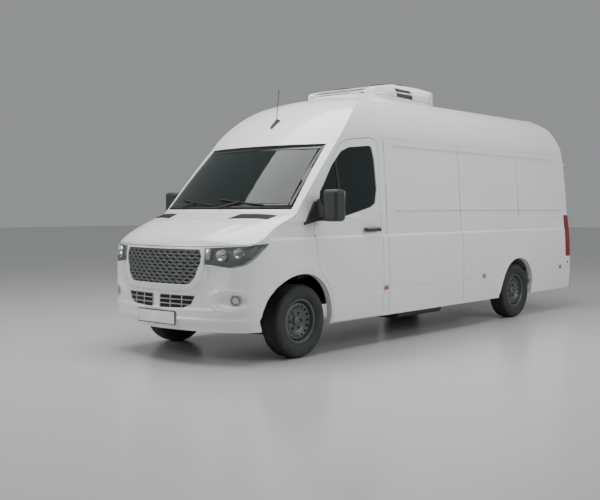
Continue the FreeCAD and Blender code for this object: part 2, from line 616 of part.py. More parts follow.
# Refrigeration unit on the roof
unit_plan = [(-560, 1950), (-480, 1780), (-300, 1690), (0, 1660), (300, 1690), (480, 1780), (560, 1950),
             (560, 2800), (500, 2990), (380, 3090), (0, 3120), (-380, 3090), (-500, 2990), (-560, 2800)]
shell = plan_prism(unit_plan, 2600, 2900)
slope = side_prism([(1500, 2500), (1500, 2760), (1700, 2840), (1900, 2880), (2200, 2900), (2700, 2900),
                    (3000, 2850), (3200, 2770), (3200, 2500)], -700, 700)
shell = shell.common(slope).cut(body_form(-SEAT))
for x in (-FAN_X, FAN_X):
    shell = shell.cut(Part.makeCylinder(FAN_WELL_R, 70, V(x, FAN_Y, FAN_FLOOR)))
export("condenser_housing", shell)
for side, sign in (("left", 1), ("right", -1)):
    fan = Part.makeCylinder(45, 48, V(sign * FAN_X, FAN_Y, FAN_FLOOR + SEAT))
    for k in range(5):
        blade = box(30, 190, -40, 40, 0, 4)
        blade.rotate(V(0, 0, 0), V(1, 0, 0), 25)
        blade.translate(V(0, 0, 20))
        blade.rotate(V(0, 0, 0), V(0, 0, 1), 72 * k)
        blade.translate(V(sign * FAN_X, FAN_Y, FAN_FLOOR + 10))
        fan = fan.fuse(blade)
    export("condenser_fan_" + side, fan)

# Evaporator at the front of the load space
evaporator = INNER.common(box(-480, 480, BULKHEAD_Y + BULKHEAD + SEAT, 2080, 2420, 2800))
export("evaporator", evaporator)

# Aerial on the cab's cap
aerial = side_prism([(600, 2300), (640, 2290), (760, 2385), (700, 2400)], -16, 16).cut(OUTER)
aerial = aerial.fuse(rod((0, 690, 2370), (0, 735, 2720), 4))
export("aerial", aerial)
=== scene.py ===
"""Looks of a high-roof refrigerated panel van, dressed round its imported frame. Metres."""
import json
import math
import bmesh
import bpy
from mathutils import Matrix, Vector
from mathutils.bvhtree import BVHTree


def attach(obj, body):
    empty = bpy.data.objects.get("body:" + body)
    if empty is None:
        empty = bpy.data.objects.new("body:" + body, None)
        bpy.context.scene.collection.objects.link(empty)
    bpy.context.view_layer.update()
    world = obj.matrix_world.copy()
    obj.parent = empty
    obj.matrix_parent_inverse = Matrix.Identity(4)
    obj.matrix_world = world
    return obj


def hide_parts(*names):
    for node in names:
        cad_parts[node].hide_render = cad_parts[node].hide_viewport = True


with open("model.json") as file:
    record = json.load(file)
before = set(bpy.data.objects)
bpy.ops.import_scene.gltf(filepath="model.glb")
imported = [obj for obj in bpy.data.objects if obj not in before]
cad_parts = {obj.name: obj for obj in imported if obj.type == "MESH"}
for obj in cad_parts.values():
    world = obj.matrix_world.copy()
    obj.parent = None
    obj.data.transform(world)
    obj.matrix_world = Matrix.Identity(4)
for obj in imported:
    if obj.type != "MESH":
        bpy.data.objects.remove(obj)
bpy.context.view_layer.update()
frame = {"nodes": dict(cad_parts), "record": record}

BODY = "vehicle_body"
AXLE = -2.4795
WHEELBASE = 4.325
WHEEL_RADIUS = 0.354
WHEEL_X = 0.855
FAN = (0.27, 2.33)
GUARD_HEIGHT = 2.8935
SIDE_FRONT = -0.55
SIDE_BACK = 5.75
BEAD_STEP = 0.05
FOAM_STEPS = 20
FOAM_PRESSURE = 4.0


# Shader arithmetic

class Wire:
    """A socket that can be added, multiplied and compared like a number."""

    def __init__(self, finish, socket):
        self.finish = finish
        self.socket = socket

    def maths(self, operation, *others):
        return self.finish.node("ShaderNodeMath", {"operation": operation}, dict(enumerate((self,) + others)))

    def __add__(self, other):
        return self.maths("ADD", other)

    def __sub__(self, other):
        return self.maths("SUBTRACT", other)

    def __mul__(self, other):
        return self.maths("MULTIPLY", other)

    def __pow__(self, other):
        return self.maths("POWER", other)

    def __radd__(self, other):
        return self.maths("ADD", other)

    def __rsub__(self, other):
        return (self * -1.0).maths("ADD", other)

    def __gt__(self, other):
        return self.maths("GREATER_THAN", other)

    def __lt__(self, other):
        return self.maths("LESS_THAN", other)

    def clamped(self):
        return self.maths("MAXIMUM", 0.0).maths("MINIMUM", 1.0)

    def between(self, low, high):
        """0 below low, 1 above high and a straight ramp between."""
        return ((self - low) * (1.0 / (high - low))).clamped()


class Finish:
    """One material, built up node by node."""

    def __init__(self, name, colour, roughness, metallic=0.0, **sockets):
        self.material = bpy.data.materials.new(name)
        self.material.use_nodes = True
        self.tree = self.material.node_tree
        self.shader = self.tree.nodes["Principled BSDF"]
        self.set("Base Color", colour)
        self.set("Roughness", roughness)
        self.set("Metallic", metallic)
        for socket, value in sockets.items():
            self.set(socket.replace("_", " "), value)
        self.place = self.node("ShaderNodeTexCoord", {}, {}, "Object")

    def feed(self, socket, value):
        """Link a wire to a socket, or set it to a plain value."""
        if isinstance(value, Wire):
            self.tree.links.new(value.socket, socket)
        elif hasattr(value, "__len__") and len(value) == 3 and socket.type == "RGBA":
            socket.default_value = (*value, 1.0)
        else:
            socket.default_value = value

    def set(self, name, value):
        self.feed(self.shader.inputs[name], value)

    def node(self, kind, settings, sockets, output=0):
        """Add a node: settings first, then the values or wires of its sockets."""
        made = self.tree.nodes.new(kind)
        for key, value in settings.items():
            setattr(made, key, value)
        for key, value in sockets.items():
            self.feed(made.inputs[key], value)
        return Wire(self, made.outputs[output])

    def axis(self, letter):
        """The distance along X, Y or Z in the shared frame."""
        return self.node("ShaderNodeSeparateXYZ", {}, {0: self.place}, letter)

    def noise(self, scale, detail=3.0, roughness=0.5):
        return self.node("ShaderNodeTexNoise", {}, {"Vector": self.place, "Scale": scale, "Detail": detail,
                                                    "Roughness": roughness})

    def cells(self, scale):
        return self.node("ShaderNodeTexVoronoi", {}, {"Vector": self.place, "Scale": scale})

    def blend(self, amount, first, second):
        """A colour between two colours."""
        return self.node("ShaderNodeMix", {"data_type": "RGBA"}, {0: amount, 6: first, 7: second}, 2)

    def bump(self, height, depth, strength=1.0):
        sockets = {"Height": height, "Distance": depth, "Strength": strength}
        self.set("Normal", self.node("ShaderNodeBump", {}, sockets))


def body_paint():
    """White van paint: clear coat over a faint orange peel, with noisy darker, rougher patches towards the
    bottom.
    """
    paint = Finish("van_white_paint", (0.82, 0.83, 0.82), 0.32, 0.0, Coat_Weight=0.6, Coat_Roughness=0.05)
    height = paint.axis("Z")
    # Noisy patches towards the bottom, darker and rougher
    low_patches = paint.noise(3.5, 5.0, 0.6) * (1.0 - height.between(0.25, 0.95))
    shade = paint.noise(1.3, 2.0)
    base = paint.blend(shade.between(0.3, 0.7), (0.80, 0.815, 0.81), (0.83, 0.84, 0.835))
    paint.set("Base Color", paint.blend(low_patches * 0.30, base, (0.50, 0.49, 0.46)))
    paint.set("Roughness", 0.28 + low_patches * 0.35)
    paint.bump(paint.noise(420.0, 1.0), 0.0002, 0.25)
    return paint.material


def plastic(name, colour, roughness, grain=900.0, depth=0.00012):
    """Moulded plastic with a fine grain and faint weathering."""
    made = Finish(name, colour, roughness)
    patch = made.noise(6.0, 4.0)
    lighter = tuple(min(1.0, c * 1.35 + 0.01) for c in colour)
    made.set("Base Color", made.blend(patch.between(0.35, 0.75) * 0.6, colour, lighter))
    made.set("Roughness", roughness - 0.08 + patch * 0.16)
    made.bump(made.cells(grain), depth, 0.5)
    return made.material


def tyre_rubber():
    """Black rubber: tread blocks between grooves on the rim of the tyre, the grooves painted darker as painted
    shade, rings on its walls, road dust.
    """
    rubber = Finish("tyre_rubber", (0.028, 0.031, 0.030), 0.75)
    dust = rubber.noise(14.0, 6.0, 0.65)
    rear = rubber.axis("Y") > 0.0
    along = rubber.axis("Y") - (AXLE + rear * WHEELBASE)
    up = rubber.axis("Z") - WHEEL_RADIUS
    out = (along * along + up * up) ** 0.5
    across = (rubber.axis("X").maths("ABSOLUTE") - WHEEL_X).maths("ABSOLUTE")
    groove = 1.0 - (across - 0.022).maths("ABSOLUTE").between(0.003, 0.006)
    groove = groove.maths("MAXIMUM", 1.0 - (across - 0.064).maths("ABSOLUTE").between(0.003, 0.006))
    turn = along.maths("ARCTAN2", up) * (62.0 / math.tau) + across * 9.0
    gap = 1.0 - (turn.maths("FRACT") - 0.5).maths("ABSOLUTE").between(0.06, 0.12)
    cuts = groove.maths("MAXIMUM", gap * (across > 0.026)) * (out > 0.336)
    rings = ((out * 240.0).maths("SINE") > 0.55) * (out < 0.318) * (out > 0.262)
    base = rubber.blend(dust.between(0.4, 0.75) * 0.6, (0.022, 0.025, 0.024), (0.06, 0.062, 0.058))
    # The grooves and block gaps are coloured near black: painted shade in the cuts; they also drive the bump
    # below
    rubber.set("Base Color", rubber.blend(cuts * 0.85, base, (0.004, 0.004, 0.004)))
    rubber.set("Roughness", 0.62 + dust * 0.25)
    rubber.bump(rubber.noise(260.0, 2.0) * 0.05 + rings * 0.12 - cuts, 0.006, 0.9)
    return rubber.material


def metal(name, colour, roughness, metallic=1.0, grain=60.0):
    made = Finish(name, colour, roughness, metallic)
    patch = made.noise(grain, 4.0, 0.6)
    darker = tuple(c * 0.7 for c in colour)
    made.set("Base Color", made.blend(patch, darker, colour))
    made.set("Roughness", roughness - 0.1 + patch * 0.2)
    made.bump(made.noise(400.0, 2.0), 0.0001, 0.3)
    return made.material


def tinted_glass(name, colour, alpha):
    glass = Finish(name, colour, 0.03, 0.0, Alpha=alpha, IOR=1.5)
    haze = glass.noise(2.0, 3.0)
    glass.set("Roughness", 0.02 + haze * 0.03)
    glass.set("Alpha", alpha + haze * 0.04)
    return glass.material


def cloth():
    made = Finish("seat_cloth", (0.05, 0.053, 0.058), 0.9, 0.0, Sheen_Weight=0.3)
    across = made.node("ShaderNodeTexWave", {"bands_direction": "X"}, {"Vector": made.place, "Scale": 220.0})
    along = made.node("ShaderNodeTexWave", {"bands_direction": "Z"}, {"Vector": made.place, "Scale": 220.0})
    weave = across * along
    made.set("Base Color", made.blend(weave, (0.035, 0.037, 0.040), (0.085, 0.088, 0.095)))
    made.bump(weave, 0.0006, 0.5)
    return made.material


FINISHES = {
    "body_paint": body_paint(),
    "black_plastic": plastic("black_grained_plastic", (0.022, 0.025, 0.025), 0.5),
    "grey_plastic": plastic("grey_lining_panel", (0.10, 0.105, 0.105), 0.6),
    "white_plastic": plastic("white_moulded_shell", (0.78, 0.79, 0.785), 0.35, 300.0, 0.00006),
    "clear_lens": tinted_glass("clear_lamp_lens", (0.50, 0.53, 0.55), 0.14),
    "red_lens": plastic("red_lamp_lens", (0.19, 0.012, 0.012), 0.15, 200.0, 0.0001),
    "tinted_glass": tinted_glass("green_tinted_glass", (0.012, 0.020, 0.019), 0.72),
    "tyre_rubber": tyre_rubber(),
    "wheel_steel": metal("painted_wheel_steel", (0.11, 0.125, 0.122), 0.45, 0.35),
    "frame_steel": metal("black_chassis_steel", (0.035, 0.036, 0.038), 0.55, 0.4),
    "cast_metal": metal("cast_iron", (0.16, 0.16, 0.155), 0.6, 0.7),
    "light_alloy": metal("light_alloy", (0.55, 0.56, 0.57), 0.4, 0.9),
    "seat_cloth": cloth(),
    "floor_rubber": plastic("ribbed_floor_rubber", (0.15, 0.155, 0.155), 0.7),
    "amber_lens": plastic("amber_lamp_lens", (0.42, 0.13, 0.025), 0.2, 200.0, 0.0001),
    "grille_trim": metal("grille_dark_chrome", (0.26, 0.27, 0.27), 0.30, 0.7),
    "satin_trim": metal("satin_grey_trim", (0.42, 0.43, 0.43), 0.4, 0.5),
    "bright_reflector": metal("bright_lamp_reflector", (0.80, 0.82, 0.83), 0.15, 1.0),
    "lamp_liner": metal("smoked_lamp_liner", (0.16, 0.17, 0.175), 0.3, 0.7),
    "mirror_glass": metal("silvered_mirror_glass", (0.62, 0.66, 0.68), 0.12, 1.0),
    "plate_white": plastic("blank_plate_white", (0.72, 0.73, 0.73), 0.35, 500.0, 0.00005),
    "seal_rubber": plastic("black_seal_rubber", (0.012, 0.013, 0.013), 0.7),
    "black_border": plastic("black_glass_border", (0.006, 0.008, 0.008), 0.15, 600.0, 0.00002),
    "body_shadow": plastic("shaded_body_dish", (0.42, 0.43, 0.43), 0.45),
    # Grey for seams, panel gaps and the foot of the side recess: painted shade
    "seam_shadow": plastic("painted_seam_shade_grey", (0.20, 0.21, 0.21), 0.7),
}

slot_of = {s["node"]: s["material_slot"] for s in frame["record"]["subparts"]}
# The radiator grille behind the mesh takes the near-black border finish instead of its slot's finish: painted
# shade in the grille openings
for name, node in frame["nodes"].items():
    node.data.materials.clear()
    node.data.materials.append(FINISHES["black_border" if name == "radiator_grille" else slot_of[name]])


BODY_OF = {node: body for body, facts in frame["record"]["behaviour"]["bodies"].items()
           for node in (facts if isinstance(facts, list) else facts["nodes"])}


# Forms laid on the body

SIDE_FORM = [(0.20, 0.972), (0.33, 0.984), (0.48, 0.996), (0.62, 1.0), (0.745, 1.0), (1.0, 0.994),
             (1.14, 0.984), (1.35, 0.958), (1.70, 0.936), (1.95, 0.918), (2.19, 0.900)]


def ramp(value, low, high):
    """0 below low, 1 above high and a smooth rise between."""
    part = min(max((value - low) / (high - low), 0.0), 1.0)
    return part * part * (3.0 - 2.0 * part)


def tent(value, *stops):
    """Straight lines between (place, amount) stops."""
    for (a, p), (b, q) in zip(stops, stops[1:]):
        if value <= b:
            return p + (q - p) * max(0.0, (value - a) / (b - a))
    return stops[-1][1]


def at(x, y, z):
    """A point whose y is counted from the front axle."""
    return Vector((x, y + AXLE, z))


def side_relief(y, z):
    """How far the body side stands out of its plain form: belt crease, sill groove and wheel arch flares."""
    belt = tent(z, (1.01, 0.0), (1.08, 0.002), (1.14, 0.002), (1.165, -0.026), (1.29, -0.012), (1.41, 0.0))
    sill = tent(z, (0.555, 0.0), (0.57, -0.004), (0.585, 0.0))
    gutter = tent(z, (2.180, 0.0), (2.195, -0.005), (2.210, 0.0))
    flare = 0.0
    for wheel_y, inner, outer in ((WHEELBASE, 0.45, 0.60), (0.0, 0.50, 0.66)):
        away = math.hypot(y - wheel_y, z - WHEEL_RADIUS)
        flare += 0.012 * (1.0 - ramp(away, inner, outer))
    fade = ramp(y, SIDE_FRONT, -0.20) * (1.0 - ramp(y, 5.60, SIDE_BACK))
    return fade * (belt + sill + gutter + (flare if z > 0.35 else 0.0))


def skin_of(*names):
    """The faces of some CAD pieces, to lay other pieces on."""
    places, faces = [], []
    for name in names:
        mesh = frame["nodes"][name].data
        start = len(places)
        places += [v.co.copy() for v in mesh.vertices]
        faces += [[start + i for i in p.vertices] for p in mesh.polygons]
    return BVHTree.FromPolygons(places, faces)


def shape_of(made):
    """The faces of a finished piece, to lay seams on."""
    mesh = made.data
    return BVHTree.FromPolygons([v.co for v in mesh.vertices], [list(p.vertices) for p in mesh.polygons])


CAST = {"front": (lambda u, v: at(u, -2.0, v), Vector((0, 1, 0))),
        "back": (lambda u, v: at(u, 7.5, v), Vector((0, -1, 0))),
        "top": (lambda u, v: at(u, v, 3.4), Vector((0, 0, -1)))}
NOSE_SKIN = skin_of("front_bumper", "bonnet", "headlamps", "front_wings", "radiator_grille", "windscreen",
                    "cab_frame")


def laid(view, u, v, lift, skin=NOSE_SKIN):
    """The point of the body under a point of a drawing made in one view."""
    if view in ("left", "right"):
        side = 1.0 if view == "left" else -1.0
        return at(side * (tent(v, *SIDE_FORM) + side_relief(u, v) + lift), u, v)
    start, cast = CAST[view]
    hit, normal, _, _ = skin.ray_cast(start(u, v), cast)
    return hit + normal * lift if hit else None


def piece(name, mesh, finish, body=BODY, sharp=40.0, tidy=True):
    """Make a mesh into a piece that rides on a body."""
    if tidy:
        bmesh.ops.recalc_face_normals(mesh, faces=mesh.faces[:])
    for face in mesh.faces:
        face.smooth = True
    data = bpy.data.meshes.new(name)
    mesh.to_mesh(data)
    mesh.free()
    data.set_sharp_from_angle(angle=math.radians(sharp))
    made = bpy.data.objects.new(name, data)
    bpy.context.scene.collection.objects.link(made)
    made.data.materials.append(FINISHES[finish])
    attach(made, body)
    return made


def thicken(made, depth, rounding=0.0):
    """Give a sheet its thickness, inwards, and round its edges."""
    wall = made.modifiers.new("wall", "SOLIDIFY")
    wall.thickness = depth
    wall.offset = -1.0
    if rounding:
        soft = made.modifiers.new("soft_edges", "BEVEL")
        soft.width = rounding
        soft.segments = 2
        soft.limit_method = "ANGLE"
        soft.angle_limit = math.radians(50)
    return made


def outline_face(mesh, points, corner=0.0):
    """A flat face inside a drawn outline, with its corners rounded."""
    face = mesh.faces.new([mesh.verts.new((u, v, 0.0)) for u, v in points])
    if corner:
        bmesh.ops.bevel(mesh, geom=list(face.verts), offset=corner, segments=4, profile=0.5, affect="VERTICES",
                        material=-1)


def rectangle(u0, u1, v0, v1):
    """The corners of an upright rectangle."""
    return [(u0, v0), (u1, v0), (u1, v1), (u0, v1)]


def facing(sign, points):
    """A drawing for the left side, turned over for the right where sign is -1."""
    return [(sign * u, v) for u, v in points]


def sliced(mesh, place, normal, trim=False):
    """Cut a mesh along a plane. With trim, what lies beyond the plane goes."""
    bmesh.ops.bisect_plane(mesh, geom=mesh.verts[:] + mesh.edges[:] + mesh.faces[:], plane_co=place,
                           plane_no=normal, clear_outer=trim)


def keep_rims(mesh, width):
    """Leave only a rim of each face."""
    rims = bmesh.ops.inset_individual(mesh, faces=mesh.faces[:], thickness=width, use_even_offset=True)["faces"]
    bmesh.ops.delete(mesh, geom=[f for f in mesh.faces if f not in rims], context="FACES")


def divided(mesh, cell):
    """Cut a flat drawing into cells, so that it can bend over the body."""
    for axis in (0, 1):
        low = min(v.co[axis] for v in mesh.verts)
        high = max(v.co[axis] for v in mesh.verts)
        count = int((high - low) / cell)
        normal = Vector((1, 0, 0)) if axis == 0 else Vector((0, 1, 0))
        for k in range(1, count + 1):
            sliced(mesh, normal * (low + (high - low) * k / (count + 1)), normal)


def lay(mesh, view, lift, skin=NOSE_SKIN):
    """Move a flat drawing's points onto the body, its faces looking outwards."""
    found = {vert: laid(view, vert.co.x, vert.co.y, lift, skin) for vert in mesh.verts}
    sure = [place for place in found.values() if place]
    for vert, place in found.items():
        if not place:
            flat = CAST[view][0](vert.co.x, vert.co.y)
            near = min(sure, key=lambda p: (flat - p).length_squared - ((flat - p).dot(CAST[view][1])) ** 2)
            place = flat - CAST[view][1] * (flat - near).dot(CAST[view][1])
        vert.co = place
    mesh.normal_update()
    outward = {"left": Vector((1, 0, 0)), "right": Vector((-1, 0, 0))}.get(view) or -CAST[view][1]
    if sum(f.normal.dot(outward) * f.calc_area() for f in mesh.faces) < 0:
        bmesh.ops.reverse_faces(mesh, faces=mesh.faces[:])


def panel(name, points, view, finish, body=BODY, lift=0.002, depth=0.004, corner=0.0, ring=0.0, cell=0.05,
          skin=NOSE_SKIN, rounding=0.001):
    """A thin panel, or with ring a frame of that width, drawn in one view and laid on the body."""
    mesh = bmesh.new()
    outline_face(mesh, points, corner)
    if ring:
        keep_rims(mesh, ring)
    divided(mesh, cell)
    lay(mesh, view, lift, skin)
    return thicken(piece(name, mesh, finish, body, tidy=False), depth, rounding)


def openwork(name, cells, points, view, finish, wall, body=BODY, lift=0.003, depth=0.008, skin=NOSE_SKIN):
    """A lattice of cells inside an outline without hollows, laid on the body."""
    mesh = bmesh.new()
    cells(mesh)
    bmesh.ops.remove_doubles(mesh, verts=mesh.verts[:], dist=0.0004)
    centre = Vector((sum(u for u, v in points), sum(v for u, v in points), 0.0)) / len(points)
    keep_rims(mesh, wall / 2.0)
    for (u0, v0), (u1, v1) in zip(points, points[1:] + points[:1]):
        normal = Vector((v1 - v0, u0 - u1, 0.0)).normalized()
        start = Vector((u0, v0, 0.0))
        if (centre - start).dot(normal) > 0:
            normal = -normal
        sliced(mesh, start, normal, trim=True)
    lay(mesh, view, lift, skin)
    return thicken(piece(name, mesh, finish, body, tidy=False), depth)


def bead(name, points, view, finish, body=BODY, radius=0.004, lift=0.0, closed=False, skin=NOSE_SKIN):
    """A round bead or seal that follows a drawn line over the body."""
    corners = points + points[:1] if closed else points
    flat = []
    for (u0, v0), (u1, v1) in zip(corners, corners[1:]):
        count = max(1, round(math.hypot(u1 - u0, v1 - v0) / BEAD_STEP))
        flat += [(u0 + (u1 - u0) * k / count, v0 + (v1 - v0) * k / count) for k in range(count)]
    if not closed:
        flat.append(points[-1])
    route = [place for place in (laid(view, u, v, lift, skin) for u, v in flat) if place]
    return tube(name, route, finish, body, radius, closed)


def tube(name, route, finish, body, radius, closed=False):
    """A round bar on a smooth line near the given points."""
    curve = bpy.data.curves.new(name, "CURVE")
    curve.dimensions = "3D"
    curve.bevel_depth = radius
    curve.bevel_resolution = 2
    curve.use_fill_caps = True
    curve.resolution_u = 3
    line = curve.splines.new("NURBS")
    line.points.add(len(route) - 1)
    for point, place in zip(line.points, route):
        point.co = (*place, 1.0)
    line.order_u = 3
    line.use_cyclic_u = closed
    line.use_endpoint_u = not closed
    drawn = bpy.data.objects.new(name + "_line", curve)
    bpy.context.scene.collection.objects.link(drawn)
    data = bpy.data.meshes.new_from_object(drawn)
    bpy.data.objects.remove(drawn)
    mesh = bmesh.new()
    mesh.from_mesh(data)
    return piece(name, mesh, finish, body)


def reshaped(node, lines, push, finish):
    """A finer copy of a CAD piece, cut along more lines, its points pushed. It stands for that piece."""
    mesh = bmesh.new()
    mesh.from_mesh(frame["nodes"][node].data)
    bmesh.ops.remove_doubles(mesh, verts=mesh.verts[:], dist=0.00002)
    for axis, places in lines:
        normal = Vector([1.0 if k == axis else 0.0 for k in range(3)])
        for place in places:
            sliced(mesh, normal * place, normal)
    for vert in mesh.verts:
        vert.co = push(vert.co)
    made = piece(node + "_formed", mesh, finish, BODY_OF[node], sharp=7.0, tidy=False)
    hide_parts(node)
    return made


def turned(name, profile, centre, axis, finish, body=BODY, steps=40, sharp=35.0):
    """A closed profile of (along, out) points spun round an axis through a centre."""
    mesh = bmesh.new()
    verts = [mesh.verts.new((out, 0.0, along)) for along, out in profile]
    edges = [mesh.edges.new(pair) for pair in zip(verts, verts[1:])]
    bmesh.ops.spin(mesh, geom=verts + edges, cent=(0, 0, 0), axis=(0, 0, 1), angle=math.tau, steps=steps,
                   use_merge=True, use_duplicate=False)
    bmesh.ops.remove_doubles(mesh, verts=mesh.verts[:], dist=0.00001)
    place = Matrix.Translation(centre) @ Vector(axis).to_track_quat("Z", "Y").to_matrix().to_4x4()
    bmesh.ops.transform(mesh, matrix=place, verts=mesh.verts[:])
    return piece(name, mesh, finish, body, sharp=sharp)


def block(name, low, high, finish, body=BODY, rounding=0.004):
    """A moulded block between two corners, counted from the front axle, with rounded edges."""
    mesh = bmesh.new()
    bmesh.ops.create_cube(mesh, size=1.0)
    low, high = at(*low), at(*high)
    bmesh.ops.scale(mesh, vec=high - low, verts=mesh.verts[:])
    if rounding:
        bmesh.ops.bevel(mesh, geom=mesh.edges[:], offset=rounding, segments=3, profile=0.5, affect="EDGES",
                        material=-1)
    bmesh.ops.translate(mesh, vec=(low + high) / 2.0, verts=mesh.verts[:])
    return piece(name, mesh, finish, body)


# Body sides, doors and wings with their creases

BELT_LINES = [(2, [0.30, 0.555, 0.57, 0.585, 0.70, 0.80, 0.90, 1.01, 1.045, 1.08, 1.11, 1.14, 1.1649, 1.1651,
                   1.20, 1.245, 1.29, 1.35, 1.41, 2.180, 2.1949, 2.1951, 2.210])]
ARCH_LINES = [(1, [AXLE + y + 0.06 * k for y in (WHEELBASE, 0.0) for k in range(-11, 12)])]


def onto_side(co):
    side = 1.0 if co.x > 0 else -1.0
    y = co.y - AXLE
    if abs(co.x) < 0.80 or y > SIDE_BACK or y < SIDE_FRONT:
        return co
    return Vector((co.x + side * side_relief(y, co.z), co.y, co.z))


for node in ("left_side_wall", "right_side_wall", "sliding_door", "front_door_left", "front_door_right",
             "front_wings"):
    reshaped(node, BELT_LINES + ARCH_LINES, onto_side, "body_paint")


# Bonnet: a raised middle between two creases that run back from the grille to the vents

def onto_bonnet(co):
    x, y = abs(co.x), co.y - AXLE
    line = 0.50 + 0.40 * (y + 0.90)
    raised = (1.0 - ramp(x, line - 0.004, line + 0.045)) * ramp(y, -0.93, -0.80) * (1.0 - ramp(y, -0.58, -0.46))
    return Vector((co.x, co.y, co.z + 0.009 * raised))


bonnet_lines = [(0, [s * (0.42 + 0.022 * k) for k in range(22) for s in (1, -1)]),
                (1, [AXLE - 0.96 + 0.035 * k for k in range(22)])]
reshaped("bonnet", bonnet_lines, onto_bonnet, "body_paint")


# Front bumper: plate flat, lip, sunk lower face, fog lamp pockets and undercut

def onto_bumper(co):
    x, y, z = abs(co.x), co.y - AXLE, co.z
    if y > -0.45:
        return co
    back = 0.016 * ramp(z, 0.505, 0.53) * (1.0 - ramp(z, 0.70, 0.76)) * (1.0 - ramp(x, 0.60, 0.72))
    back += 0.070 * (1.0 - ramp(z, 0.305, 0.43))
    back += 0.010 * ramp(z, 0.42, 0.44) * (1.0 - ramp(z, 0.445, 0.50))
    back += 0.013 * ramp(x, 0.590, 0.612) * (1.0 - ramp(x, 0.66, 0.82)) * ramp(z, 0.70, 0.78)
    pocket = math.hypot((x - 0.815) / 0.135, (z - 0.602) / 0.066)
    back += 0.032 * (1.0 - ramp(pocket, 0.55, 1.0))
    brow = math.hypot((x - 0.80) / 0.20, (z - 0.60) / 0.105)
    back -= 0.010 * (ramp(brow, 0.70, 0.86) - ramp(brow, 0.86, 1.15))
    flat = (1.0 - ramp(x, 0.272, 0.30)) * ramp(z, 0.325, 0.345) * (1.0 - ramp(z, 0.49, 0.505))
    new_y = y + back
    new_y += (max(new_y, -0.984) - new_y) * flat if y < -0.95 else 0.0
    return Vector((co.x, max(new_y, -1.004) + AXLE, co.z))


bumper_lines = [(0, [s * (0.05 + 0.04 * k) for k in range(23) for s in (1, -1)] +
                 [s * v for v in (0.272, 0.286, 0.30) for s in (1, -1)]),
                (2, [0.305 + 0.0195 * k for k in range(1, 31)] + [0.505, 0.53, 0.44, 0.445])]
reshaped("front_bumper", bumper_lines, onto_bumper, "body_paint")

# Front: grille, lower openings, lamps, number plate

GRILLE = [(-0.507, 1.060), (0.507, 1.060), (0.532, 1.0), (0.528, 0.945), (0.470, 0.80), (0.420, 0.748),
          (0.380, 0.738), (-0.380, 0.738), (-0.420, 0.748), (-0.470, 0.80), (-0.528, 0.945), (-0.532, 1.0)]
FRAME = [(-0.59, 1.20), (0.59, 1.20), (0.597, 0.985), (0.590, 0.93), (0.525, 0.772), (0.462, 0.70),
         (0.40, 0.683), (-0.40, 0.683), (-0.462, 0.70), (-0.525, 0.772), (-0.590, 0.93), (-0.597, 0.985)]


def staggered_cells(mesh):
    for row in range(11):
        for column in range(-7, 8):
            middle = (0.084 * (column + 0.5 * (row % 2)), 0.744 + 0.032 * row, 0.0)
            place = Matrix.Translation(middle) @ Matrix.Diagonal((0.0455, 0.0185, 1.0, 1.0))
            bmesh.ops.create_circle(mesh, cap_ends=True, segments=6, radius=1.0,
                                    matrix=place @ Matrix.Rotation(math.radians(30), 4, "Z"))


GRILLE_SKIN = skin_of("radiator_grille")
BUMPER_SKIN = skin_of("front_bumper", "bonnet")
openwork("grille_mesh", staggered_cells, GRILLE, "front", "grille_trim", 0.010, lift=0.006, depth=0.010,
         skin=GRILLE_SKIN)

frame_mesh = bmesh.new()
outline_face(frame_mesh, FRAME, 0.0)
keep_rims(frame_mesh, 0.058)
sliced(frame_mesh, (0, 1.068, 0), (0, 1, 0), trim=True)
divided(frame_mesh, 0.03)
lay(frame_mesh, "front", 0.009, skin_of("front_bumper"))
thicken(piece("grille_surround", frame_mesh, "body_paint", tidy=False), 0.016, 0.006)

LOW_OPENING = [(0.050, 0.636), (0.466, 0.636), (0.430, 0.561), (0.345, 0.524), (0.050, 0.514)]
for side, sign in (("left", 1), ("right", -1)):
    def grid_cells(mesh, sign=sign):
        place = Matrix.Translation((sign * 0.258, 0.575, 0)) @ Matrix.Diagonal((0.416, 0.126, 1, 1))
        bmesh.ops.create_grid(mesh, x_segments=3, y_segments=3, size=0.5, matrix=place)
    openwork("low_opening_bars_" + side, grid_cells, facing(sign, LOW_OPENING), "front", "satin_trim", 0.010,
             lift=0.006, depth=0.010, skin=GRILLE_SKIN)
block("number_plate_holder", (-0.268, -0.991, 0.356), (0.268, -0.983, 0.484), "seal_rubber", rounding=0.002)
block("number_plate_front", (-0.260, -0.996, 0.364), (0.260, -0.990, 0.476), "plate_white", rounding=0.0025)

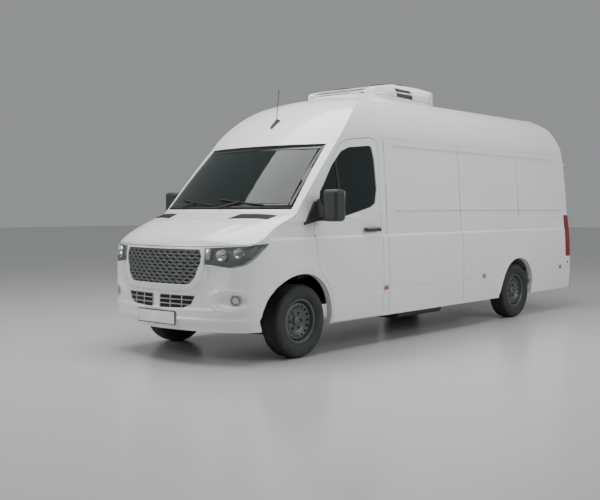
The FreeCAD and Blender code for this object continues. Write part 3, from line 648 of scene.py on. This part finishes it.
LAMP_SKIN = skin_of("headlamps")
LAMP_BAND = [(0.575, 0.972), (0.575, 0.935), (0.79, 0.905), (0.90, 0.935), (0.955, 0.985), (0.93, 0.990),
             (0.86, 0.952), (0.78, 0.944)]
LAMP_LINER = [(0.565, 1.07), (0.565, 0.93), (0.80, 0.90), (0.93, 0.955), (0.968, 1.03), (0.975, 1.09),
              (0.90, 1.09)]
LAMP_STRIP = [(0.572, 1.066), (0.572, 0.975), (0.612, 0.972), (0.620, 1.066)]
for side, sign in (("left", 1), ("right", -1)):
    panel("headlamp_liner_" + side, facing(sign, LAMP_LINER), "front", "lamp_liner", lift=-0.044, depth=0.004,
          skin=LAMP_SKIN)
    panel("headlamp_band_" + side, facing(sign, LAMP_BAND), "front", "seal_rubber", lift=-0.004, depth=0.004,
          skin=LAMP_SKIN, cell=0.03)
    panel("headlamp_day_strip_" + side, facing(sign, LAMP_STRIP), "front", "bright_reflector", lift=-0.010,
          depth=0.004, skin=LAMP_SKIN, corner=0.008)
    for k, (x, y, z, size) in enumerate(((0.735, -0.835, 1.012, 0.050), (0.862, -0.745, 1.030, 0.046))):
        bowl = [(-0.028, 0.012), (-0.020, size * 0.62), (0.000, size), (0.006, size + 0.004),
                (-0.002, size + 0.006), (-0.026, size * 0.7), (-0.034, 0.012)]
        turned("headlamp_bowl_%s_%d" % (side, k), bowl, at(sign * x, y, z), (sign * 0.35, -1, 0.03),
               "bright_reflector")
        bulb = [(-0.026, 0.0), (-0.026, 0.012), (-0.008, 0.017), (0.002, 0.013), (0.008, 0.0)]
        turned("headlamp_lens_ball_%s_%d" % (side, k), bulb, at(sign * x, y, z), (sign * 0.35, -1, 0.03),
               "clear_lens", steps=24)
    fog = at(sign * 0.846, -0.772, 0.603)
    fog_ring = [(-0.02, 0.040), (0.004, 0.040), (0.010, 0.044), (0.010, 0.049), (0.002, 0.053), (-0.02, 0.053)]
    turned("fog_lamp_ring_" + side, fog_ring, fog, (sign * 0.62, -1, 0), "satin_trim")
    turned("fog_lamp_bowl_" + side, [(-0.018, 0.0), (-0.016, 0.020), (0.0, 0.040)], fog, (sign * 0.62, -1, 0),
           "lamp_liner")
    turned("fog_lamp_glass_" + side, [(0.006, 0.0), (0.005, 0.025), (0.001, 0.0405)], fog, (sign * 0.62, -1, 0),
           "clear_lens")

# Bonnet vents; the windscreen's black border, its foot seal and the wipers
VENT = [(0.835, -0.200), (0.455, -0.322), (0.428, -0.462), (0.815, -0.318)]
for side, sign in (("left", 1), ("right", -1)):
    panel("bonnet_vent_" + side, facing(sign, VENT), "top", "seal_rubber", "bonnet", lift=0.003,
          depth=0.007, corner=0.012, skin=skin_of("bonnet"))
    for k in range(5):
        t = (k + 0.5) / 5.0
        start = [VENT[0][i] + (VENT[3][i] - VENT[0][i]) * t for i in (0, 1)]
        end = [VENT[1][i] + (VENT[2][i] - VENT[1][i]) * t for i in (0, 1)]
        slat = facing(sign, [(start[0] - 0.02, start[1] - 0.006), (end[0] + 0.02, end[1] + 0.006)])
        bead("bonnet_vent_slat_%s_%d" % (side, k), slat, "top", "black_plastic", "bonnet", radius=0.005,
             lift=0.003, skin=skin_of("bonnet"))
SCREEN_SKIN = skin_of("windscreen")
panel("windscreen_border", [(-0.885, 1.436), (0.885, 1.436), (0.814, 2.083), (-0.814, 2.083)], "front",
      "black_border", lift=0.0008, depth=0.0014, ring=0.05, corner=0.03, skin=SCREEN_SKIN, rounding=0.0,
      cell=0.04)
bead("cowl_seal", [(-0.87, 1.440), (0.87, 1.440)], "front", "seal_rubber", radius=0.011, lift=0.004,
     skin=SCREEN_SKIN)
for name, start, end, root in (("left", (0.60, 1.462), (0.03, 1.520), (0.10, 1.435)),
                               ("right", (-0.05, 1.462), (-0.62, 1.520), (-0.52, 1.435))):
    bead("wiper_blade_" + name, [start, end], "front", "seal_rubber", radius=0.0065, lift=0.010,
         skin=SCREEN_SKIN)
    middle = ((start[0] + end[0]) / 2.0, (start[1] + end[1]) / 2.0)
    bead("wiper_arm_" + name, [root, middle], "front", "black_plastic", radius=0.009, lift=0.022,
         skin=SCREEN_SKIN)

# Sides: windows, handles, mirrors, marker lamps, seams

WINDOW = [(0.240, 1.340), (0.710, 1.367), (1.125, 1.455), (1.198, 1.495), (1.233, 1.632), (1.213, 1.948),
          (1.180, 2.073), (1.148, 2.091), (0.792, 2.056), (0.663, 2.010), (0.505, 1.866), (0.305, 1.600)]
DOOR_GAP = [(0.203, 1.29), (0.203, 0.90), (0.25, 0.80), (0.33, 0.72), (0.40, 0.60), (0.432, 0.47), (0.44, 0.31),
            (1.29, 0.31), (1.29, 2.09), (1.24, 2.165), (1.15, 2.182), (0.77, 2.14), (0.64, 2.085),
            (0.545, 1.97), (0.34, 1.67), (0.265, 1.545), (0.203, 1.445)]
for side, sign in (("left", 1), ("right", -1)):
    door = "front_door_" + side
    panel("window_border_" + side, WINDOW, side, "black_border", door, lift=-0.0108, depth=0.0012, ring=0.034,
          rounding=0.0)
    panel("quarter_light_bar_" + side, [(0.560, 1.93), (0.618, 1.352), (0.650, 1.354), (0.588, 1.955)], side,
          "seal_rubber", door, lift=-0.006, depth=0.006)
    panel("mirror_base_wing_" + side, [(0.035, 1.278), (0.197, 1.306), (0.197, 1.512)], side, "black_plastic",
          lift=0.020, depth=0.021, corner=0.008)
    foot = [(0.209, 1.309), (0.300, 1.325), (0.330, 1.44), (0.268, 1.535), (0.209, 1.50)]
    panel("mirror_base_door_" + side, foot, side, "black_plastic", door, lift=0.016, depth=0.017, corner=0.006)
    bead("door_seal_" + side, DOOR_GAP, side, "seal_rubber", radius=0.0042, lift=-0.012, closed=True)
    panel("door_handle_dish_" + side, [(0.985, 1.182), (1.225, 1.186), (1.225, 1.250), (0.985, 1.246)], side,
          "body_shadow", door, lift=0.001, depth=0.002, corner=0.026, cell=0.03)
    side_at = sign * 0.972
    lows = sorted((side_at + sign * 0.022, side_at + sign * 0.041))
    block("door_handle_grip_" + side, (lows[0], 0.975, 1.196), (lows[1], 1.235, 1.226), "black_plastic", door,
          0.009)
    block("door_handle_cap_" + side, (lows[0], 0.985, 1.227), (lows[1], 1.228, 1.244), "satin_trim", door,
          0.006)
    for y in (0.985, 1.200):
        feet = sorted((side_at - sign * 0.004, side_at + sign * 0.030))
        block("door_handle_foot_%s_%d" % (side, y * 1000), (feet[0], y, 1.202), (feet[1], y + 0.028, 1.236),
              "black_plastic", door, 0.005)
    glass = sorted((sign * 1.088, sign * 1.233))
    for part, z0, z1 in (("upper", 1.405, 1.597), ("lower", 1.333, 1.395)):
        block("mirror_glass_%s_%s" % (part, side), (glass[0], 0.3235, z0), (glass[1], 0.3285, z1),
              "mirror_glass", door, 0.0018)
    lamp = sorted((sign * 1.225, sign * 1.2495))
    block("mirror_indicator_" + side, (lamp[0], 0.215, 1.350), (lamp[1], 0.285, 1.364), "amber_lens", door,
          0.004)
    for k, (y, z) in enumerate(((1.335, 0.592), (3.41, 0.600), (5.56, 0.612))):
        panel("marker_lamp_%s_%d" % (side, k), rectangle(y - 0.033, y + 0.033, z - 0.018, z + 0.018), side,
              "amber_lens", lift=0.007, depth=0.008, corner=0.006, rounding=0.002)
        panel("marker_lamp_bezel_%s_%d" % (side, k), rectangle(y - 0.040, y + 0.040, z - 0.025, z + 0.025),
              side, "satin_trim", lift=0.004, depth=0.006, corner=0.009)
    panel("tail_lamp_side_" + side, [(5.738, 0.757), (5.882, 0.757), (5.868, 1.345), (5.730, 1.345)], side,
          "red_lens", lift=0.003, depth=0.006, corner=0.01, rounding=0.002)
    # The seam strips below are grey painted shade in the panel gaps
    for k, (y, z0, z1, deep) in enumerate(((1.400, 0.33, 1.328, 0.0), (1.400, 1.33, 2.19, 0.0),
                                           (2.925, 0.33, 1.328, 0.0), (2.925, 1.335, 2.117, -0.009),
                                           (2.925, 2.122, 2.19, 0.0), (4.40, 1.335, 2.117, -0.009))):
        if side == "right" and y < 3.0:
            continue
        panel("side_seam_%s_%d" % (side, k), rectangle(y - 0.0024, y + 0.0024, z0, z1), side, "seam_shadow",
              lift=deep + 0.0015, depth=0.0025, rounding=0.0, cell=0.02)
    # A grey strip of painted shade along the foot of the side recess
    panel("recess_foot_%s_0" % side, rectangle(1.575, 5.66, 1.4104, 1.4136), side, "seam_shadow",
          lift=-0.0075, depth=0.0025, rounding=0.0, cell=0.3)
block("sliding_door_grip", (-0.999, 1.500, 1.196), (-0.990, 1.760, 1.226), "black_plastic", rounding=0.004)
for y in (1.505, 1.725):
    block("sliding_door_grip_foot_%d" % (y * 1000), (-0.995, y, 1.200), (-0.965, y + 0.028, 1.222),
          "black_plastic", rounding=0.004)
bead("sliding_door_seal", [(1.40, 0.33), (1.40, 2.13), (2.925, 2.13), (2.925, 0.33)], "right", "seal_rubber",
     radius=0.0042, lift=-0.012, closed=True)
block("sliding_door_rail", (-0.962, 2.935, 1.262), (-0.938, 4.72, 1.292), "black_plastic", rounding=0.004)

# Rear: lamps, plate, handle
for side, sign in (("left", 1), ("right", -1)):
    leaf = "rear_door_" + side
    wall = skin_of(side + "_side_wall")
    lamp = [(sign * 0.896, 0.757), (sign * 0.990, 0.757), (sign * 0.950, 1.345), (sign * 0.884, 1.345)]
    panel("tail_lamp_rear_" + side, lamp, "back", "red_lens", lift=0.003, depth=0.006, corner=0.008, skin=wall,
          rounding=0.002)
    indicator = [(sign * 0.903, 1.14), (sign * 0.957, 1.14), (sign * 0.950, 1.22), (sign * 0.900, 1.22)]
    panel("tail_lamp_indicator_" + side, indicator, "back", "amber_lens", lift=0.005, depth=0.004, corner=0.006,
          skin=wall)
    panel("rear_reflector_" + side, rectangle(sign * 0.70, sign * 0.83, 0.46, 0.50), "back", "red_lens",
          lift=0.003, depth=0.005, corner=0.006,
          skin=skin_of("rear_bumper"))
    panel("rear_side_reflector_" + side, rectangle(5.785, 5.825, 0.655, 0.685), side, "red_lens",
          lift=0.003, depth=0.005, corner=0.004)
    door_skin = skin_of(leaf)
    for k, (x0, x1, z0, z1) in enumerate(((0.10, 0.74, 0.86, 1.13), (0.09, 0.75, 1.29, 2.21))):
        panel("rear_door_press_%s_%d" % (side, k), rectangle(sign * x0, sign * x1, z0, z1), "back",
              "body_paint", leaf, lift=0.003, depth=0.004, corner=0.05, ring=0.012, skin=door_skin)
panel("rear_number_plate", rectangle(0.13, 0.65, 0.90, 1.01), "back", "plate_white",
      "rear_door_left", lift=0.006, depth=0.005, corner=0.004, skin=skin_of("rear_door_left"))
panel("rear_handle_dish", rectangle(0.035, 0.10, 1.16, 1.27), "back", "body_shadow",
      "rear_door_left", lift=0.001, depth=0.002, corner=0.015, skin=skin_of("rear_door_left"))
panel("rear_handle_grip", rectangle(0.055, 0.085, 1.17, 1.26), "back", "black_plastic",
      "rear_door_left", lift=0.018, depth=0.014, corner=0.006, skin=skin_of("rear_door_left"), rounding=0.004)
panel("high_brake_lamp", rectangle(-0.12, 0.12, 2.49, 2.515), "back", "red_lens",
      lift=0.003, depth=0.006, corner=0.006, skin=skin_of("roof"))

# Cooling unit: intake, side vents, fan guards

def onto_unit(co):
    """Let the pod's nose, tail and shoulders fall away in smooth curves."""
    x, y, z = abs(co.x), co.y - AXLE, co.z
    along = tent(y, (1.66, 2.738), (1.72, 2.775), (1.82, 2.812), (1.95, 2.845), (2.08, 2.873), (2.22, 2.892),
                 (2.32, 2.90), (2.70, 2.90), (2.84, 2.888), (2.96, 2.858), (3.05, 2.815), (3.12, 2.750))
    across = tent(x, (0.40, 2.90), (0.455, 2.890), (0.50, 2.870), (0.535, 2.835), (0.56, 2.785))
    top = min(along, across)
    if z > 2.745 and math.hypot(x - FAN[0], y - FAN[1]) > 0.2045:
        z = min(z, top)
    return Vector((co.x, co.y, z))


unit_across = (0.30, 0.36, 0.40, 0.43, 0.455, 0.48, 0.50, 0.52, 0.535, 0.55)
unit_along = (1.70, 1.75, 1.82, 1.88, 1.95, 2.01, 2.08, 2.15, 2.22, 2.70, 2.77, 2.84, 2.90,
              2.96, 3.01, 3.05, 3.09)
unit_lines = [(0, [s * v for v in unit_across for s in (1, -1)]),
              (1, [AXLE + v for v in unit_along]),
              (2, [2.746, 2.77, 2.80])]
UNIT_SKIN = shape_of(reshaped("condenser_housing", unit_lines, onto_unit, "white_plastic"))
CAST["left_cast"] = (lambda u, v: at(1.6, u, v), Vector((-1, 0, 0)))
CAST["right_cast"] = (lambda u, v: at(-1.6, u, v), Vector((1, 0, 0)))
panel("cooling_unit_intake", [(-0.40, 2.752), (0.40, 2.752), (0.33, 2.840), (-0.33, 2.840)], "front",
      "black_plastic", lift=0.002, depth=0.004, corner=0.012, skin=UNIT_SKIN)
for k in range(4):
    z = 2.762 + 0.021 * k
    bead("cooling_unit_intake_bar_%d" % k, [(-0.38 + 0.014 * k, z), (0.38 - 0.014 * k, z)], "front",
         "satin_trim", radius=0.003, lift=0.003, skin=UNIT_SKIN)
for side in ("left", "right"):
    view = side + "_cast"
    panel("cooling_unit_vent_" + side, [(2.14, 2.735), (2.47, 2.725), (2.43, 2.822), (2.12, 2.830)], view,
          "black_plastic", lift=0.002, depth=0.004, corner=0.01, skin=UNIT_SKIN)
    for k in range(11):
        y = 2.155 + 0.027 * k
        bead("cooling_unit_vent_slat_%s_%d" % (side, k), [(y, 2.745), (y - 0.008, 2.815)], view, "satin_trim",
             radius=0.0025, lift=0.003, skin=UNIT_SKIN)
    # The pod's seam line is a grey bead of painted shade
    bead("cooling_unit_seam_" + side, [(1.80, 2.735), (2.95, 2.715)], view, "seam_shadow", radius=0.002,
         lift=0.0, skin=UNIT_SKIN)
for side, sign in (("left", 1), ("right", -1)):
    for k, radius in enumerate((0.055, 0.105, 0.155, 0.203)):
        ring_points = [at(sign * FAN[0] + radius * math.cos(a), FAN[1] + radius * math.sin(a), GUARD_HEIGHT)
                       for a in (math.tau * n / 16 for n in range(16))]
        tube("fan_guard_ring_%s_%d" % (side, k), ring_points, "frame_steel", BODY, 0.0028, closed=True)
    for k in range(4):
        a = math.tau * k / 8
        reach = Vector((math.cos(a), math.sin(a), 0)) * 0.204
        middle = at(sign * FAN[0], FAN[1], GUARD_HEIGHT)
        tube("fan_guard_spoke_%s_%d" % (side, k), [middle - reach, middle, middle + reach], "frame_steel", BODY,
             0.0024)

# Wheels: hub caps and nuts
for where, y in (("front", 0.0), ("rear", WHEELBASE)):
    for side, sign in (("left", 1), ("right", -1)):
        wheel = "wheel_%s_%s" % (where, side)
        cap = [(0.016, 0.0), (0.016, 0.045), (0.026, 0.045), (0.034, 0.036), (0.038, 0.018), (0.039, 0.0)]
        hub = at(sign * WHEEL_X, y, WHEEL_RADIUS) + Vector((sign * 0.018, 0, 0))
        turned("hub_cap_%s_%s" % (where, side), cap, hub, (sign, 0, 0), "wheel_steel", wheel)
        mesh = bmesh.new()
        for k in range(6):
            a = math.tau * k / 6
            spot = at(sign * 0.895, y + 0.080 * math.cos(a), WHEEL_RADIUS + 0.080 * math.sin(a))
            bmesh.ops.create_cone(mesh, cap_ends=True, segments=6, radius1=0.014, radius2=0.011, depth=0.020,
                                  matrix=Matrix.Translation(spot) @ Matrix.Rotation(sign * math.pi / 2, 4, "Y"))
        piece("wheel_nuts_%s_%s" % (where, side), mesh, "wheel_steel", wheel)


# Seats: rigid bases, padded cushions, backs and head rests

def cushion(name, centre, size, lean, crown):
    """A crowned pad whose sides draw in between its corners, filled by pressure and leaned back."""
    mesh = bmesh.new()
    bmesh.ops.create_cube(mesh, size=2.0)
    bmesh.ops.subdivide_edges(mesh, edges=mesh.edges[:], cuts=7, use_grid_fill=True)
    thin = min(range(3), key=lambda k: size[k])
    wide = [k for k in range(3) if k != thin]
    for vert in mesh.verts:
        co = vert.co
        corner = max(0.0, 1.0 - co[wide[0]] ** 2) * max(0.0, 1.0 - co[wide[1]] ** 2)
        co[thin] *= 0.74 + crown * corner
        for k in wide:
            other = wide[0] if k == wide[1] else wide[1]
            co[k] *= 0.965 - 0.035 * (1.0 - co[other] ** 2) * abs(co[k]) ** 3
            co[k] *= 1.0 - 0.05 * abs(co[thin]) ** 3
    bmesh.ops.scale(mesh, vec=Vector(size) / 2.0, verts=mesh.verts[:])
    place = Matrix.Translation(at(*centre)) @ Matrix.Rotation(math.radians(lean), 4, "X")
    bmesh.ops.transform(mesh, matrix=place, verts=mesh.verts[:])
    made = piece(name, mesh, "seat_cloth", sharp=80.0)
    fill_with_foam(made, 0.008, 0.010)
    smooth = made.modifiers.new("smooth", "SUBSURF")
    smooth.levels = smooth.render_levels = 1
    return made


def fill_with_foam(made, voxel, most):
    """Let the cover swell under pressure, each point moving no further than the most allowed."""
    scene = bpy.context.scene
    even = made.modifiers.new("even_mesh", "REMESH")
    even.mode = "VOXEL"
    even.voxel_size = voxel
    start = bpy.data.meshes.new_from_object(made.evaluated_get(bpy.context.evaluated_depsgraph_get()))
    made.modifiers.clear()
    made.data = start
    cover = made.modifiers.new("cover", "CLOTH")
    cover.settings.use_pressure = True
    cover.settings.uniform_pressure_force = FOAM_PRESSURE
    cover.settings.effector_weights.gravity = 0.0
    cover.point_cache.frame_start = 1
    cover.point_cache.frame_end = FOAM_STEPS
    for step in range(1, FOAM_STEPS + 1):
        scene.frame_set(step)
    swollen = bpy.data.meshes.new_from_object(made.evaluated_get(bpy.context.evaluated_depsgraph_get()))
    for before, after in zip(start.vertices, swollen.vertices):
        moved = after.co - before.co
        if moved.length > most:
            after.co = before.co + moved * (most / moved.length)
    made.modifiers.clear()
    made.data = swollen
    for face in swollen.polygons:
        face.use_smooth = True
    scene.frame_set(1)


for name, x0, x1 in (("driver", 0.25, 0.73), ("passenger", -0.74, -0.11)):
    middle, width = (x0 + x1) / 2.0, x1 - x0
    block("seat_base_" + name, (x0 + 0.04, 0.80, 0.562), (x1 - 0.04, 1.18, 0.775), "black_plastic",
          rounding=0.012)
    pad = cushion("seat_cushion_" + name, (middle, 0.975, 0.832), (width, 0.50, 0.135), 3.0, 0.16)
    back = cushion("seat_back_" + name, (middle, 1.300, 1.165), (width - 0.02, 0.125, 0.58), -13.0, 0.18)
    cushion("head_rest_" + name, (middle, 1.372, 1.532), (0.235, 0.085, 0.165), -8.0, 0.14)
    for k, x in enumerate((-0.05, 0.05)):
        tube("head_rest_post_%s_%d" % (name, k), [at(middle + x, 1.352, 1.40), at(middle + x, 1.368, 1.48)],
             "light_alloy", BODY, 0.006)
    if name == "driver":
        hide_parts("seats")
    for k, part in enumerate((-0.26, 0.26)):
        x = middle + width * part
        bead("seat_cushion_seam_%s_%d" % (name, k), [(x, 0.76), (x, 1.16)], "top", "seal_rubber", radius=0.0025,
             lift=0.0, skin=shape_of(pad))
        bead("seat_back_seam_%s_%d" % (name, k), [(x, 0.92), (x, 1.40)], "front", "seal_rubber", radius=0.0025,
             lift=0.0, skin=shape_of(back))

# Dashboard dressing: instrument hood, dials, centre screen and air vents
block("instrument_hood", (0.24, 0.330, 1.205), (0.54, 0.470, 1.290), "black_plastic", rounding=0.02)
for k, x in enumerate((0.325, 0.455)):
    turned("instrument_dial_%d" % k, [(0.0, 0.0), (0.0, 0.042), (0.006, 0.045), (0.006, 0.050), (-0.01, 0.050)],
           at(x, 0.470, 1.248), (0, 1, 0.1), "satin_trim", steps=32)
block("centre_screen", (-0.115, 0.400, 1.130), (0.115, 0.455, 1.255), "black_border", rounding=0.006)
for k, x in enumerate((-0.74, -0.20, 0.19, 0.70)):
    block("air_vent_%d" % k, (x - 0.055, 0.425, 1.085), (x + 0.055, 0.462, 1.125), "satin_trim", rounding=0.005)


# Floor, light and camera

def studio():
    """A plain pale floor, soft light from above and a pale surround."""
    mesh = bmesh.new()
    bmesh.ops.create_grid(mesh, x_segments=1, y_segments=1, size=60.0)
    data = bpy.data.meshes.new("floor")
    mesh.to_mesh(data)
    mesh.free()
    floor = bpy.data.objects.new("floor", data)
    bpy.context.scene.collection.objects.link(floor)
    surface = Finish("pale_floor", (0.62, 0.62, 0.62), 0.22)
    surface.set("Base Color", surface.blend(surface.noise(0.6), (0.50, 0.50, 0.50), (0.53, 0.53, 0.53)))
    floor.data.materials.append(surface.material)
    world = bpy.data.worlds.new("surround")
    world.use_nodes = True
    world.node_tree.nodes["Background"].inputs[0].default_value = (0.60, 0.61, 0.62, 1.0)
    world.node_tree.nodes["Background"].inputs[1].default_value = 0.50
    bpy.context.scene.world = world
    for name, stand, aim, size, power in (
            ("overhead_softbox", (0.0, -2.0, 7.5), (0.0, -0.5, 1.0), 7.0, 800.0),
            ("front_softbox", (-4.0, -10.0, 5.0), (0.0, -3.0, 1.0), 4.0, 250.0),
            ("side_softbox", (9.0, 2.0, 5.0), (0.0, 0.5, 1.4), 5.0, 350.0)):
        light = bpy.data.lights.new(name, "AREA")
        light.size = size
        light.energy = power
        lamp = bpy.data.objects.new(name, light)
        lamp.location = stand
        lamp.rotation_euler = (Vector(aim) - Vector(stand)).to_track_quat("-Z", "Y").to_euler()
        bpy.context.scene.collection.objects.link(lamp)


def photographer():
    """The camera where the photograph was taken from."""
    lens = bpy.data.cameras.new("camera")
    lens.sensor_width = 36.0
    lens.lens = 53.24
    lens.clip_end = 200.0
    camera = bpy.data.objects.new("camera", lens)
    yaw, pitch, roll = (math.radians(a) for a in (-41.214, -2.579, -0.07))
    ahead = Vector((math.cos(pitch) * math.sin(yaw), math.cos(pitch) * math.cos(yaw), math.sin(pitch)))
    turn = ahead.to_track_quat("-Z", "Y").to_matrix().to_4x4()
    stand = Matrix.Translation((6.534, -6.385 + AXLE, 1.421))
    camera.matrix_world = stand @ turn @ Matrix.Rotation(roll, 4, "Z")
    bpy.context.scene.collection.objects.link(camera)
    bpy.context.scene.camera = camera


studio()
photographer()
